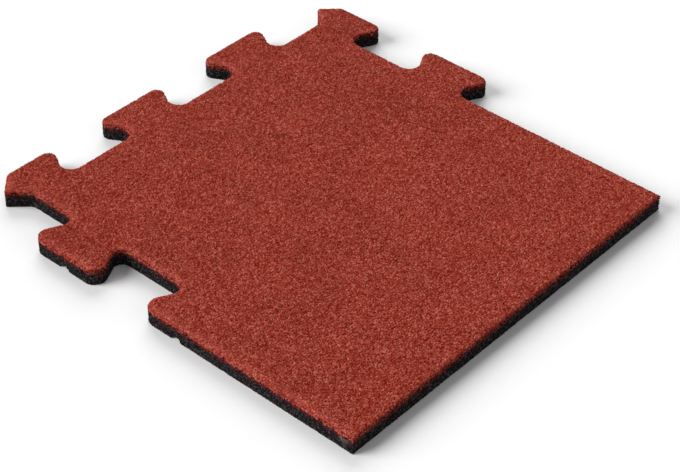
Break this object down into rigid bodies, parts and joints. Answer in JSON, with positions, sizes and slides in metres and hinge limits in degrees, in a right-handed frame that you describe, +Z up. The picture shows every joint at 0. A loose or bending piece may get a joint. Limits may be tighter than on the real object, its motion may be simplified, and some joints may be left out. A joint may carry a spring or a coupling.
{
  "type": "interlocking rubber floor tile",
  "caption": "Two-layer rubber crumb floor tile with dovetail tabs and sockets on its sides and back and a straight front edge, for gym floors.",
  "frame": {"origin": "centre of the bounding box, on the floor", "axes": "+X towards the side with tabs, +Y towards the back edge with tabs, +Z up, with the straight front edge at -Y"},
  "size_m": [0.548, 0.548, 0.02],
  "materials": {
    "black_crumb": "matte bonded granulate, cut edges",
    "red_crumb": "matte bonded granulate, pressed surface"
  },
  "bodies": {
    "root": {"base_layer": "black_crumb", "wear_layer": "red_crumb"}
  },
  "joints": []
}
